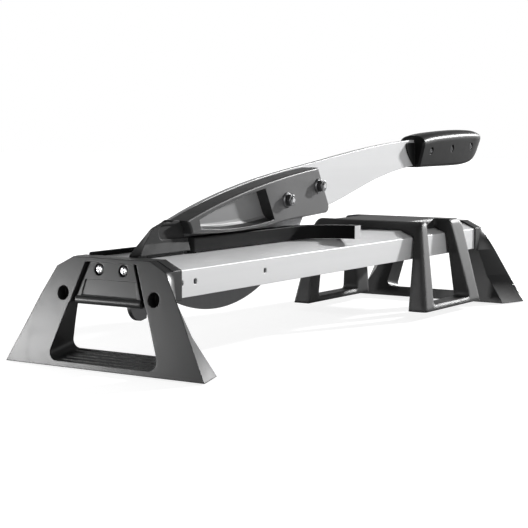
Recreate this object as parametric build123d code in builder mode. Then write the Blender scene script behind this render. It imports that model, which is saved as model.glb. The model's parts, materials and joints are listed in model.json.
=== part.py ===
"""Laminate flooring cutter: two feet, two rails, a guillotine lever, a fence and a plank support."""
import math
import os

from build123d import *

os.makedirs("parts", exist_ok=True)

# Stand
base_length = 600.0
base_width = 200.0
table_height = 86.5
pad_proud = 0.8

# Rails
rail_outer = 54.5
rail_height = 27.8
rail_slope_run = 14.5
rail_slope_drop = 6.2
rail_wall = 2.0
slot_half = 4.3

# Feet
foot_depth = 32.0
foot_lean = 13.0
foot_taper = 11.0
foot_wall = 1.6
foot_inset = 11.0
crossbar_bottom = 52.0
window_sill = 5.0
sill_rise = 7.0
window_bottom = 57.0
window_slope = 0.39
panel_recess = 1.6
groove_width = 4.0
groove_depth = 5.0
rail_inset = 23.0
foot_screw_offset = 12.2
foot_screw_drop = 7.2
socket_radius = 5.7
socket_depth = 9.0
socket_offset = 45.6
socket_height = 59.2
pad_radius = 8.0
pad_offset = 80.0

# Pivot
pivot_inset = 82.0
pivot_rise = 16.0
pivot_radius = 4.0
bush_wall = 2.0
hub_radius = 9.6
knuckle_radius = 13.0
lever_swing = 55.0
stop_reach = 32.0
stop_angle = -75.0
stop_radius = 3.0
bracket_depth = 12.0
bracket_length = 98.7
washer_thickness = 1.2

# Lever
blade_thickness = 4.0
arm_thickness = 5.0
arm_start = 14.4
cover_depth = 18.0
cover_recess = 11.0
rear_cover_depth = 11.0
cover_bolt_radius = 3.0
grip_reach = 451.0
grip_length = 151.0
grip_half_width = 15.8
grip_foot_width = 9.0
tongue_wall = 1.3

# Fence
fence_width = 10.8
fence_drop = 2.7
fence_lift = 0.9
fence_bend = 255.0
fence_bend_radius = 43.0
fence_gap = 1.2
fence_thread = 2.5
fence_shoulder = 3.0
fence_head = 4.0
fence_sink = 2.6

# Plank support
support_inset = 472.8
support_bottom = 7.5
support_plate = 8.5

# Fits
running_gap = 0.3
bearing_gap = 0.05
seat_gap = 0.15

# Values that follow from the ones above
left_end = -(pivot_inset + grip_reach + grip_length) / 2
base_middle = left_end + base_length / 2
rail_bottom = table_height - rail_height
shoulder_height = table_height - rail_slope_drop
rail_flat = rail_outer - rail_slope_run
rail_length = base_length - 2 * rail_inset
foot_top = table_height + foot_wall + 0.4
lean_angle = math.atan(foot_lean / shoulder_height)
taper_angle = math.atan(foot_taper / shoulder_height)
screw_radius = 2.0
screw_head_radius = 4.0
screw_seat_x = left_end + rail_inset - 6.0
pad_seat = 1.5
pivot_x = left_end + pivot_inset
pivot_height = table_height + pivot_rise
blade_front = -blade_thickness / 2
blade_back = blade_thickness / 2
arm_back = blade_back + arm_thickness
arm_middle = (blade_back + arm_back) / 2
bracket_gap = washer_thickness + running_gap
bracket_back = blade_front - bracket_gap
bracket_face = bracket_back - bracket_depth
bush_radius = pivot_radius + bearing_gap + bush_wall
cover_front = blade_front - cover_depth
cover_rear = arm_back + rear_cover_depth
fence_middle = -slot_half - 0.7 - fence_width / 2
fence_x = left_end + bracket_length + fence_gap + fence_width / 2
fence_bottom = table_height + fence_lift
fence_top = pivot_height - fence_drop
fence_height = fence_top - fence_bottom
support_centre = left_end + support_inset


def from_left(distance):
    """X of a point given by its distance from the left foot's outer edge."""
    return left_end + distance


def lever_point(along, above):
    """Point of the lever, seen from the front, by its distance past and above the pivot."""
    return (pivot_x + along, pivot_height + above)


def upright(y):
    """Sketch plane facing the front at depth y, with X to the right and Z up."""
    return Plane.XZ.offset(-y)


def across(x):
    """Sketch plane across the rails at x, with Y to the right and Z up."""
    return Plane.YZ.offset(x)


def level(z):
    """Sketch plane at height z."""
    return Plane.XY.offset(z)


def along_y(x, y, z):
    """Place for a round piece whose axis runs front to rear."""
    return Location((x, y, z), (90, 0, 0))


def along_x(x, y, z):
    """Place for a round piece whose axis runs along the rails."""
    return Location((x, y, z), (0, 90, 0))


def leaning(depth):
    """Sketch plane of the left foot's outer face, moved in by depth."""
    outward = Vector(-math.cos(lean_angle), 0, math.sin(lean_angle))
    return Plane(
        origin=Vector(left_end, 0, 0) - outward * depth,
        x_dir=(0, -1, 0),
        z_dir=outward,
    )


def tapering():
    """Sketch plane of the left foot's inner face, which leans toward the outer one."""
    return Plane(
        origin=(left_end + foot_depth, 0, 0),
        x_dir=(0, -1, 0),
        z_dir=(-math.cos(taper_angle), 0, -math.sin(taper_angle)),
    )


def facing_out(x):
    """Sketch plane across the rails at x, seen from the left end."""
    return Plane(origin=(x, 0, 0), x_dir=(0, -1, 0), z_dir=(-1, 0, 0))


def both_sides(points):
    """Closed outline from the points of its right half, bottom first."""
    return points + [(-a, b) for a, b in reversed(points)]


def stretched(points, angle):
    """Heights above the floor turned into lengths along a face that leans by angle."""
    return [(a, b / math.cos(angle)) for a, b in points]


def rail_outline(side, grow=0.0):
    """Section of one rail, front (side -1) or rear (side 1)."""
    return [
        (side * (slot_half - grow), rail_bottom - grow),
        (side * (slot_half - grow), table_height + grow),
        (side * (rail_flat + grow * 0.4), table_height + grow),
        (side * (rail_outer + grow), shoulder_height + grow * 0.4),
        (side * (rail_outer + grow), rail_bottom - grow),
    ]


# Left foot
sleeve_side = rail_outer + foot_wall
leg_half = base_width / 2
leg_slope = (leg_half - sleeve_side) / shoulder_height
knee_height = rail_bottom - foot_wall
bend_height = 30.0
outer_half = [
    (leg_half, pad_proud),
    (leg_half - leg_slope * bend_height, bend_height),
    (leg_half - leg_slope * knee_height, knee_height),
    (sleeve_side - 1.5, shoulder_height),
    (rail_flat - 1.6, foot_top),
]
inner_half = [
    (leg_half - foot_inset, pad_proud),
    (sleeve_side + 12.5, bend_height),
    (sleeve_side, knee_height),
    (sleeve_side, shoulder_height),
    (rail_flat, foot_top),
]
sleeve_half = [
    (sleeve_side, knee_height),
    (sleeve_side, shoulder_height + 0.6),
    (rail_flat + 0.6, foot_top),
]


def window_side(height):
    """Half width of the foot's window at a height on the outer face."""
    return window_bottom - window_slope * (height - window_sill)


inner_sill = window_sill + sill_rise
foot_inner = left_end + foot_depth
foot_screw_z = table_height - foot_screw_drop
panel_top = foot_top - 3.5
panel_edge = groove_width + 1.0
with BuildPart() as left_foot:
    with BuildSketch(tapering()):
        Polygon(*both_sides(stretched(inner_half, taper_angle)))
    with BuildSketch(leaning(0)):
        Polygon(*both_sides(stretched(outer_half, lean_angle)))
    loft(ruled=True)
    # Sleeve round the rail ends
    with BuildSketch(facing_out(foot_inner)):
        Polygon(*both_sides(sleeve_half))
    extrude(amount=foot_depth - rail_inset + 2.0)
    # Window between the legs, with a sill that climbs inward
    with BuildSketch(facing_out(foot_inner + 1.0)) as window_in:
        Polygon(*both_sides([
            (window_bottom - 3.0, inner_sill + 0.2),
            (44.5, crossbar_bottom),
        ]))
        fillet(window_in.vertices().group_by(Axis.Y)[0], 6.0)
    with BuildSketch(leaning(-1.0)) as window_out:
        Polygon(*both_sides(stretched([
            (window_bottom, window_sill - 0.2),
            (window_side(crossbar_bottom), crossbar_bottom),
        ], lean_angle)))
        fillet(window_out.vertices().group_by(Axis.Y)[0], 7.0)
    loft(ruled=True, mode=Mode.SUBTRACT)
    # Crossbar panel, set back a little from the legs, with a groove down each side
    with BuildSketch(leaning(0)):
        Polygon(*both_sides(stretched([
            (window_side(crossbar_bottom), crossbar_bottom - 1.0),
            (window_side(panel_top), panel_top),
        ], lean_angle)))
    extrude(amount=-panel_recess, mode=Mode.SUBTRACT)
    for side in (-1, 1):
        with BuildSketch(leaning(0)):
            Polygon(*stretched([
                (side * window_side(crossbar_bottom), crossbar_bottom - 1.0),
                (side * window_side(panel_top), panel_top),
                (side * (window_side(panel_top) - groove_width), panel_top),
                (side * (window_side(crossbar_bottom) - groove_width), crossbar_bottom - 1.0),
            ], lean_angle))
        extrude(amount=-groove_depth, mode=Mode.SUBTRACT)
    # Rounded lip under the crossbar
    lip_radius = 3.4
    lip_z = crossbar_bottom + lip_radius - 0.8
    lip_x = left_end + math.tan(lean_angle) * lip_z + panel_recess + 1.6
    with Locations(along_y(lip_x, 0, lip_z)):
        Cylinder(lip_radius, 2 * (window_side(lip_z) - panel_edge))
    # Bare name panel
    with BuildSketch(leaning(panel_recess)):
        Polygon(*both_sides(stretched([
            (28.0, lip_z + lip_radius + 0.8),
            (25.0, 71.5),
        ], lean_angle)))
    extrude(amount=-0.8, mode=Mode.SUBTRACT)
    # Pockets for the rail ends
    for side in (-1, 1):
        with BuildSketch(across(left_end + rail_inset - seat_gap)):
            Polygon(*rail_outline(side, seat_gap))
        extrude(amount=foot_depth, mode=Mode.SUBTRACT)
    # Screw seats in the crossbar
    for side in (-1, 1):
        with Locations(along_x(screw_seat_x - 10.0, side * foot_screw_offset, foot_screw_z)):
            Cylinder(screw_head_radius + 0.7, 20.0, mode=Mode.SUBTRACT)
            Cylinder(screw_radius + seat_gap, 60.0, mode=Mode.SUBTRACT)
    # Round sockets in the legs
    socket_x = left_end + math.tan(lean_angle) * socket_height
    for side in (-1, 1):
        with Locations(along_x(socket_x, side * socket_offset, socket_height)):
            Cylinder(socket_radius, 2 * socket_depth, mode=Mode.SUBTRACT)
    # Ribs across the sill
    sill_angle = math.degrees(math.atan(sill_rise / foot_depth))
    for step in range(5):
        rib_u = 4.5 + 5.5 * step
        rib_z = window_sill + sill_rise * rib_u / foot_depth
        with Locations(Location((left_end + rib_u, 0, rib_z), (0, -sill_angle, 0))):
            Box(2.6, 90.0, 1.2, mode=Mode.SUBTRACT)
    # Seats for the pads
    for side in (-1, 1):
        with Locations((left_end + foot_depth / 2, side * pad_offset, pad_proud)):
            Cylinder(pad_radius + seat_gap, 2 * pad_seat, mode=Mode.SUBTRACT)
left_foot.part.label = "left_foot"
export_step(left_foot.part, "parts/left_foot.step")

# Right foot, the left one's mirror image
with BuildPart() as right_foot:
    mirror(left_foot.part, about=across(base_middle))
right_foot.part.label = "right_foot"
export_step(right_foot.part, "parts/right_foot.step")


def foot_pads(end):
    """Two round pads under the foot at one end (-1 left, 1 right)."""
    x = base_middle + end * (base_length - foot_depth) / 2
    with BuildPart() as pads:
        for side in (-1, 1):
            with BuildSketch(level(0)):
                with Locations((x, side * pad_offset)):
                    Circle(pad_radius)
            extrude(amount=pad_proud + pad_seat)
    return pads.part


with BuildPart() as left_foot_pads:
    add(foot_pads(-1))
left_foot_pads.part.label = "left_foot_pads"
export_step(left_foot_pads.part, "parts/left_foot_pads.step")

with BuildPart() as right_foot_pads:
    add(foot_pads(1))
right_foot_pads.part.label = "right_foot_pads"
export_step(right_foot_pads.part, "parts/right_foot_pads.step")

# Screws through the crossbars
head_height = 2.4
with BuildPart() as left_foot_screws:
    for side in (-1, 1):
        with Locations(along_x(screw_seat_x - head_height / 2, side * foot_screw_offset, foot_screw_z)):
            Cylinder(screw_head_radius, head_height)
        with Locations(along_x(screw_seat_x + 8.0, side * foot_screw_offset, foot_screw_z)):
            Cylinder(screw_radius, 16.0)
    fillet(left_foot_screws.edges().filter_by(GeomType.CIRCLE).group_by(Axis.X)[0], 1.1)
left_foot_screws.part.label = "left_foot_screws"
export_step(left_foot_screws.part, "parts/left_foot_screws.step")

with BuildPart() as right_foot_screws:
    mirror(left_foot_screws.part, about=across(base_middle))
right_foot_screws.part.label = "right_foot_screws"
export_step(right_foot_screws.part, "parts/right_foot_screws.step")

# Blocks in the rail ends that take the foot screws
plug_length = 14.0
plug_side = 17.4
plug_y = slot_half + rail_wall + seat_gap + plug_side / 2
with BuildPart() as rail_plugs:
    for end in (-1, 1):
        for side in (-1, 1):
            with BuildSketch(across(base_middle + end * (rail_length - plug_length) / 2)):
                with Locations((side * plug_y, foot_screw_z - 4.0)):
                    Rectangle(plug_side, plug_side)
                with Locations((side * foot_screw_offset, foot_screw_z)):
                    Circle(screw_radius + bearing_gap, mode=Mode.SUBTRACT)
            extrude(amount=plug_length / 2, both=True)
rail_plugs.part.label = "rail_plugs"
export_step(rail_plugs.part, "parts/rail_plugs.step")

# Shared places of the fixings on the rails
bracket_screw_x = [from_left(44.0), from_left(bracket_length - 4.7)]
bracket_screw_y = fence_middle
stop_x = pivot_x + stop_reach * math.cos(math.radians(stop_angle))
stop_z = pivot_height + stop_reach * math.sin(math.radians(stop_angle))
counter_start = from_left(102.0)
counter_length = 206.0
counter_depth = slot_half + blade_front - running_gap
counter_height = 16.0
counter_screw_x = [counter_start + counter_length / 4, counter_start + counter_length * 3 / 4]
counter_screw_z = table_height - 9.0
face_hole_x = [from_left(34.0), from_left(52.1), from_left(152.7)]
face_hole_z = 70.4


def rail_blank(side):
    """Hollow extruded rail with one web."""
    with BuildPart() as rail:
        with BuildSketch(across(left_end + rail_inset)):
            Polygon(*rail_outline(side))
            Polygon(*rail_outline(side, -rail_wall), mode=Mode.SUBTRACT)
            with Locations((side * 28.0, (rail_bottom + table_height) / 2)):
                Rectangle(rail_wall, rail_height)
        extrude(amount=rail_length)
        # Stop pin seat in the wall beside the slot
        with Locations(along_y(stop_x, side * (slot_half + rail_wall / 2), stop_z)):
            Cylinder(stop_radius + 0.02, rail_wall * 2, mode=Mode.SUBTRACT)
    return rail.part


with BuildPart() as front_rail:
    add(rail_blank(-1))
    for x in face_hole_x:
        with Locations(along_y(x, -rail_outer, face_hole_z)):
            Cylinder(2.25, rail_wall * 3, mode=Mode.SUBTRACT)
    for x in counter_screw_x:
        with Locations(along_y(x, -slot_half - rail_wall / 2, counter_screw_z)):
            Cylinder(2.0 + bearing_gap, rail_wall * 2, mode=Mode.SUBTRACT)
    for x in bracket_screw_x:
        with Locations((x, bracket_screw_y, table_height)):
            Cylinder(screw_radius + bearing_gap, rail_wall * 3, mode=Mode.SUBTRACT)
    with Locations((fence_x, fence_middle, table_height)):
        Cylinder(fence_thread + bearing_gap, rail_wall * 3, mode=Mode.SUBTRACT)
front_rail.part.label = "front_rail"
export_step(front_rail.part, "parts/front_rail.step")

with BuildPart() as rear_rail:
    add(rail_blank(1))
rear_rail.part.label = "rear_rail"
export_step(rear_rail.part, "parts/rear_rail.step")

# Strip along the top of the rear rail
strip_start = left_end + foot_depth + 2.0
strip_gap_half = 56.0
with BuildPart() as rear_strip:
    with BuildSketch(across(strip_start)):
        Polygon(
            (rail_flat - 1.0, table_height),
            (rail_flat - 1.0, table_height + 3.0),
            (rail_flat - 2.0, table_height + 4.0),
            (rail_flat - 5.0, table_height + 4.0),
            (rail_flat - 6.0, table_height + 3.0),
            (rail_flat - 6.0, table_height),
        )
    extrude(amount=2 * (base_middle - strip_start))
    with Locations((support_centre, rail_flat, table_height)):
        Box(2 * strip_gap_half, 30.0, 20.0, mode=Mode.SUBTRACT)
rear_strip.part.label = "rear_strip"
export_step(rear_strip.part, "parts/rear_strip.step")

# Fixed shear edge on the front rail
with BuildPart() as counter_blade:
    with BuildSketch(upright(-slot_half + counter_depth)):
        with Locations((counter_start + counter_length / 2, table_height - counter_height / 2)):
            Rectangle(counter_length, counter_height)
    extrude(amount=counter_depth)
    for x in counter_screw_x:
        with Locations(along_y(x, -slot_half + counter_depth / 2, counter_screw_z)):
            Cone(2.0 + bearing_gap, 4.0, counter_depth, rotation=(180, 0, 0), mode=Mode.SUBTRACT)
counter_blade.part.label = "counter_blade"
export_step(counter_blade.part, "parts/counter_blade.step")

with BuildPart() as counter_blade_screws:
    for x in counter_screw_x:
        with Locations(along_y(x, -slot_half + counter_depth / 2, counter_screw_z)):
            Cone(2.0, 3.9, counter_depth - 0.1, rotation=(180, 0, 0))
        with Locations(along_y(x, -slot_half - rail_wall, counter_screw_z)):
            Cylinder(2.0, rail_wall * 2 + 0.4)
counter_blade_screws.part.label = "counter_blade_screws"
export_step(counter_blade_screws.part, "parts/counter_blade_screws.step")

# Pin across the slot that ends the lever's travel
stop_length = 2 * (slot_half + rail_wall + 2.0)
with BuildPart() as stop_pin:
    with Locations(along_y(stop_x, 0, stop_z)):
        Cylinder(stop_radius, stop_length)
stop_pin.part.label = "stop_pin"
export_step(stop_pin.part, "parts/stop_pin.step")

# Pivot bracket: a nose block on the front rail with a rounded end about the pivot
bracket_start = left_end + foot_depth + 0.8
bracket_end = from_left(bracket_length)
block_top = pivot_height - 2.2
crease_z = pivot_height - 4.5
flare = 2.1
plinth_height = 3.0
plinth_step = 3.0
nut_depth = 6.5
nut_half = 6.5


def knuckle(degrees, radius):
    """Point on a circle about the pivot, seen from the front."""
    turn = math.radians(degrees)
    return (pivot_x + radius * math.cos(turn), pivot_height + radius * math.sin(turn))


knuckle_low = math.degrees(math.asin((block_top - pivot_height) / knuckle_radius))
knuckle_high = 119.0


def bracket_outline(tip, bend, crown):
    """Side outline of the nose, from its tip over the bend and the crown to the knuckle."""
    with BuildLine() as outline:
        Polyline(
            knuckle(knuckle_high, knuckle_radius),
            crown,
            bend,
            tip,
            (bracket_start, table_height),
            (bracket_end, table_height),
            (bracket_end, block_top),
            knuckle(knuckle_low, knuckle_radius),
        )
        ThreePointArc(
            knuckle(knuckle_low, knuckle_radius),
            knuckle(60, knuckle_radius),
            knuckle(knuckle_high, knuckle_radius),
        )
    return outline.edges()


with BuildPart() as pivot_bracket:
    with BuildSketch(upright(bracket_back)):
        make_face(bracket_outline(
            (bracket_start + 0.5, table_height + 3.5),
            lever_point(-21.0, 6.8),
            lever_point(-9.0, 10.5),
        ))
    with BuildSketch(upright(bracket_face)):
        make_face(bracket_outline(
            (bracket_start, table_height + 4.0),
            lever_point(-36.0, 5.8),
            lever_point(-14.0, 12.7),
        ))
    loft(ruled=True)
    # Rounded bend of the nose
    bend_middle = (pivot_x - 28.5, (bracket_back + bracket_face) / 2, pivot_height + 6.3)
    fillet(pivot_bracket.edges().sort_by_distance(bend_middle)[0], 9.0)
    # Front face stands back above the crease
    with BuildSketch(across(bracket_start - 5.0)):
        Polygon(
            (bracket_face, plinth_height + table_height),
            (bracket_face + flare, crease_z),
            (bracket_face + flare, table_height + 40.0),
            (bracket_face - 5.0, table_height + 40.0),
            (bracket_face - 5.0, plinth_height + table_height),
        )
    extrude(amount=bracket_length, mode=Mode.SUBTRACT)
    # Shadow gap above the rail
    with BuildSketch(across(bracket_start - 5.0)):
        with Locations((bracket_face, table_height + plinth_height / 2)):
            Rectangle(2 * plinth_step, plinth_height)
    extrude(amount=bracket_length, mode=Mode.SUBTRACT)
    # Dished panel beside the cover
    with BuildSketch(upright(bracket_face + flare)):
        with Locations(lever_point(0.0, 3.9)):
            RectangleRounded(46.0, 12.0, 5.0)
    extrude(amount=-1.4, mode=Mode.SUBTRACT)
    # Seat for the nut, bore for the bolt
    with BuildSketch(upright(bracket_back)):
        with Locations((pivot_x, pivot_height)):
            RegularPolygon(nut_half + seat_gap, 6, major_radius=False)
    extrude(amount=nut_depth, mode=Mode.SUBTRACT)
    for x in bracket_screw_x:
        with Locations((x, bracket_screw_y, table_height)):
            Cylinder(screw_radius + bearing_gap, 19.0, mode=Mode.SUBTRACT)
pivot_bracket.part.label = "pivot_bracket"
export_step(pivot_bracket.part, "parts/pivot_bracket.step")

# Screws from inside the rail into the bracket
screw_under = table_height - rail_wall
with BuildPart() as bracket_screws:
    for x in bracket_screw_x:
        with BuildSketch(level(screw_under)):
            with Locations((x, bracket_screw_y)):
                Circle(3.4)
        extrude(amount=-2.4)
        with BuildSketch(level(screw_under)):
            with Locations((x, bracket_screw_y)):
                Circle(screw_radius)
        extrude(amount=rail_wall + 9.0)
bracket_screws.part.label = "bracket_screws"
export_step(bracket_screws.part, "parts/bracket_screws.step")

# Pivot bolt from the rear into a nut held in the bracket
bolt_head_y = blade_back + bracket_gap
with BuildPart() as pivot_bolt:
    with BuildSketch(upright(bolt_head_y)):
        with Locations((pivot_x, pivot_height)):
            RegularPolygon(6.5, 6, major_radius=False)
    extrude(amount=-5.3)
    with BuildSketch(upright(bolt_head_y)):
        with Locations((pivot_x, pivot_height)):
            Circle(pivot_radius)
    extrude(amount=bolt_head_y - bracket_back + nut_depth - 0.3)
pivot_bolt.part.label = "pivot_bolt"
export_step(pivot_bolt.part, "parts/pivot_bolt.step")

with BuildPart() as pivot_nut:
    with BuildSketch(upright(bracket_back)):
        with Locations((pivot_x, pivot_height)):
            RegularPolygon(nut_half, 6, major_radius=False)
            Circle(pivot_radius + bearing_gap, mode=Mode.SUBTRACT)
    extrude(amount=nut_depth)
pivot_nut.part.label = "pivot_nut"
export_step(pivot_nut.part, "parts/pivot_nut.step")

with BuildPart() as thrust_washers:
    for y in (bracket_back + washer_thickness, bolt_head_y):
        with BuildSketch(upright(y)):
            with Locations((pivot_x, pivot_height)):
                Circle(8.0)
                Circle(pivot_radius + bearing_gap, mode=Mode.SUBTRACT)
        extrude(amount=washer_thickness)
thrust_washers.part.label = "thrust_washers"
export_step(thrust_washers.part, "parts/thrust_washers.step")

# Lever: bearing bush
with BuildPart() as pivot_bush:
    with BuildSketch(upright(blade_front)):
        with Locations((pivot_x, pivot_height)):
            Circle(bush_radius)
            Circle(pivot_radius + bearing_gap, mode=Mode.SUBTRACT)
    extrude(amount=-blade_thickness)
pivot_bush.part.label = "pivot_bush"
export_step(pivot_bush.part, "parts/pivot_bush.step")

# Places shared by the lever's pieces
cover_bolts_at = [lever_point(159.8, 22.5), lever_point(215.0, 33.4)]
grip_start = pivot_x + grip_reach
arm_tip = grip_reach + grip_length - 19.0
grip_screws_at = [
    lever_point(grip_reach + 22.0, 62.0),
    lever_point(grip_reach + 73.0, 64.0),
    lever_point(grip_reach + 123.0, 65.7),
]

# Arm
arm_neck = grip_reach + 2.0
with BuildPart() as lever_arm:
    with BuildSketch(upright(blade_back)):
        with BuildLine():
            Spline(
                lever_point(arm_start, 12.1),
                lever_point(73.8, 28.5),
                lever_point(142.5, 41.7),
                lever_point(245.5, 54.9),
                lever_point(364.7, 68.3),
                lever_point(arm_neck, 73.9),
            )
            Polyline(
                lever_point(arm_neck, 73.9),
                lever_point(arm_neck + 4.0, 70.5),
                lever_point(arm_tip, 74.5),
                lever_point(arm_tip, 58.5),
                lever_point(arm_neck + 6.0, 53.5),
                lever_point(arm_neck, 46.3),
            )
            Spline(
                lever_point(arm_neck, 46.3),
                lever_point(408.7, 41.6),
                lever_point(356.2, 32.1),
                lever_point(276.2, 13.0),
                lever_point(228.0, 7.0),
            )
            Polyline(
                lever_point(228.0, 7.0),
                lever_point(arm_start, 1.5),
                lever_point(arm_start, 12.1),
            )
        make_face()
        with Locations(*cover_bolts_at):
            Circle(cover_bolt_radius + bearing_gap, mode=Mode.SUBTRACT)
        with Locations(*grip_screws_at):
            Circle(2.3, mode=Mode.SUBTRACT)
    extrude(amount=-arm_thickness)
lever_arm.part.label = "lever_arm"
export_step(lever_arm.part, "parts/lever_arm.step")

# Blade with a bellied edge, a heel and a curved slot for the stop pin
belly_x = pivot_x + 76.0
belly_z = pivot_height + 104.5
belly_radius = 173.0


def belly_at(x):
    """Height of the bellied edge at x."""
    return belly_z - math.sqrt(belly_radius ** 2 - (x - belly_x) ** 2)


belly_start = pivot_x - 4.0
belly_end = pivot_x + 218.0
bevel_width = 7.0
bevel_land = 0.5
start_angle = math.degrees(math.atan2(belly_at(belly_start) - belly_z, belly_start - belly_x))
end_angle = math.degrees(math.atan2(belly_at(belly_end) - belly_z, belly_end - belly_x))


with BuildPart() as blade:
    with BuildSketch(upright(blade_front)):
        with BuildLine():
            Polyline(knuckle(165, hub_radius), lever_point(-36.0, -22.5), lever_point(-46.0, -51.5))
            ThreePointArc(lever_point(-46.0, -51.5), lever_point(-42.5, -62.5), lever_point(-32.0, -67.3))
            Line(lever_point(-32.0, -67.3), lever_point(-25.0, -66.0))
            ThreePointArc(
                lever_point(-25.0, -66.0),
                lever_point(-18.0, -52.5),
                (belly_start, belly_at(belly_start)),
            )
            ThreePointArc(
                (belly_start, belly_at(belly_start)),
                (belly_x, belly_z - belly_radius),
                (belly_end, belly_at(belly_end)),
            )
            Line((belly_end, belly_at(belly_end)), lever_point(224.0, 13.5))
            Line(lever_point(224.0, 13.5), lever_point(222.0, 41.5))
            Line(lever_point(222.0, 41.5), lever_point(132.0, 32.5))
            Polyline(lever_point(132.0, 32.5), lever_point(28.0, 12.5), knuckle(75, hub_radius))
            ThreePointArc(
                knuckle(75, hub_radius),
                knuckle(120, hub_radius),
                knuckle(165, hub_radius),
            )
        make_face()
        with Locations((pivot_x, pivot_height)):
            Circle(bush_radius + 0.02, mode=Mode.SUBTRACT)
        with Locations(*cover_bolts_at):
            Circle(cover_bolt_radius + bearing_gap, mode=Mode.SUBTRACT)
        with BuildLine(mode=Mode.PRIVATE) as stop_path:
            ThreePointArc(
                knuckle(stop_angle - lever_swing, stop_reach),
                knuckle(stop_angle - lever_swing / 2, stop_reach),
                knuckle(stop_angle, stop_reach),
            )
        SlotArc(stop_path.edges()[0], 2 * (stop_radius + running_gap), mode=Mode.SUBTRACT)
    extrude(amount=-blade_thickness)
    # Ground bevel on the rear of the bellied edge
    bevel_dir = Vector(math.cos(math.radians(start_angle)), 0, math.sin(math.radians(start_angle)))
    bevel_plane = Plane(
        origin=(belly_x, 0, belly_z),
        x_dir=bevel_dir,
        z_dir=bevel_dir.cross(Vector(0, 1, 0)),
    )
    with BuildSketch(bevel_plane):
        Polygon(
            (belly_radius - bevel_width, blade_back + 0.01),
            (belly_radius + 0.5, blade_front + bevel_land),
            (belly_radius + 0.5, blade_back + 0.01),
        )
    revolve(
        axis=Axis((belly_x, 0, belly_z), (0, -1, 0)),
        revolution_arc=end_angle - start_angle,
        mode=Mode.SUBTRACT,
    )
blade.part.label = "blade"
export_step(blade.part, "parts/blade.step")

# Front cover with a deep recess and a block that carries the nuts
cover_swing = knuckle_radius + 0.7
cover_edge = 1.6
recess_sweep = 6.0
sweep_steps = 4
sweep_start = cover_front + cover_recess - recess_sweep


def recess_outline(lift):
    """Outline of the cover's recess with its lower edge lifted."""
    with BuildLine() as line:
        Spline(
            lever_point(24.0, 12.0),
            lever_point(57.0, 21.3),
            lever_point(124.0, 34.3),
        )
        Line(lever_point(124.0, 34.3), lever_point(139.0 - lift / 2, 5.9 + lift))
        Spline(
            lever_point(139.0 - lift / 2, 5.9 + lift),
            lever_point(83.0, 1.9 + lift),
            lever_point(26.0, 4.5 + lift / 2),
        )
        Line(lever_point(26.0, 4.5 + lift / 2), lever_point(24.0, 12.0))
    return line.edges()


with BuildPart() as front_cover:
    with BuildSketch(upright(blade_front)):
        with BuildLine():
            Spline(
                knuckle(62, cover_swing),
                lever_point(57.0, 25.5),
                lever_point(126.0, 39.1),
                lever_point(215.0, 50.5),
            )
            Line(lever_point(215.0, 50.5), lever_point(234.6, 15.1))
            ThreePointArc(lever_point(234.6, 15.1), lever_point(234.2, 10.1), lever_point(229.0, 7.3))
            Line(lever_point(229.0, 7.3), lever_point(162.0, 4.1))
            Spline(lever_point(162.0, 4.1), lever_point(83.0, -0.9), knuckle(4, cover_swing))
            ThreePointArc(
                knuckle(4, cover_swing),
                knuckle(33, cover_swing),
                knuckle(62, cover_swing),
            )
        make_face()
    extrude(amount=cover_depth)
    outline = front_cover.faces().sort_by(Axis.Y)[0].edges()
    fillet(outline, cover_edge)
    # Recess whose lower wall sweeps round into its floor
    with BuildSketch(upright(cover_front)):
        make_face(recess_outline(0.0))
    extrude(amount=cover_front - sweep_start, mode=Mode.SUBTRACT)
    for step in range(sweep_steps):
        for turn in (step, step + 1):
            sweep = math.pi / 2 * turn / sweep_steps
            with BuildSketch(upright(sweep_start + recess_sweep * math.sin(sweep))):
                make_face(recess_outline(recess_sweep * (1 - math.cos(sweep))))
        loft(ruled=True, mode=Mode.SUBTRACT)
    for x, z in cover_bolts_at:
        with Locations(along_y(x, cover_front, z)):
            Cylinder(cover_bolt_radius + bearing_gap, 3 * cover_depth, mode=Mode.SUBTRACT)
front_cover.part.label = "front_cover"
export_step(front_cover.part, "parts/front_cover.step")

# Rear cover, lower and flatter
rear_start = arm_start + 3.0
with BuildPart() as rear_cover:
    with BuildSketch(upright(arm_back)):
        with BuildLine():
            Spline(
                lever_point(rear_start, 7.5),
                lever_point(68.0, 22.0),
                lever_point(142.0, 36.1),
                lever_point(215.0, 45.5),
            )
            Line(lever_point(215.0, 45.5), lever_point(232.0, 15.1))
            ThreePointArc(lever_point(232.0, 15.1), lever_point(232.2, 10.1), lever_point(227.0, 7.3))
            Polyline(lever_point(227.0, 7.3), lever_point(rear_start, 0.5), lever_point(rear_start, 7.5))
        make_face()
    extrude(amount=-rear_cover_depth)
    fillet(rear_cover.faces().sort_by(Axis.Y)[-1].edges(), 1.6)
    for x, z in cover_bolts_at:
        with Locations(along_y(x, cover_rear, z)):
            Cylinder(cover_bolt_radius + bearing_gap, 3 * cover_depth, mode=Mode.SUBTRACT)
rear_cover.part.label = "rear_cover"
export_step(rear_cover.part, "parts/rear_cover.step")

# Clamp bolts from the rear, flange nuts at the front
with BuildPart() as cover_bolts:
    for x, z in cover_bolts_at:
        with BuildSketch(upright(cover_rear)):
            with Locations((x, z)):
                RegularPolygon(5.0, 6, major_radius=False)
        extrude(amount=-4.0)
        with BuildSketch(upright(cover_rear)):
            with Locations((x, z)):
                Circle(cover_bolt_radius)
        extrude(amount=cover_rear - cover_front + 7.4)
cover_bolts.part.label = "cover_bolts"
export_step(cover_bolts.part, "parts/cover_bolts.step")

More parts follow.
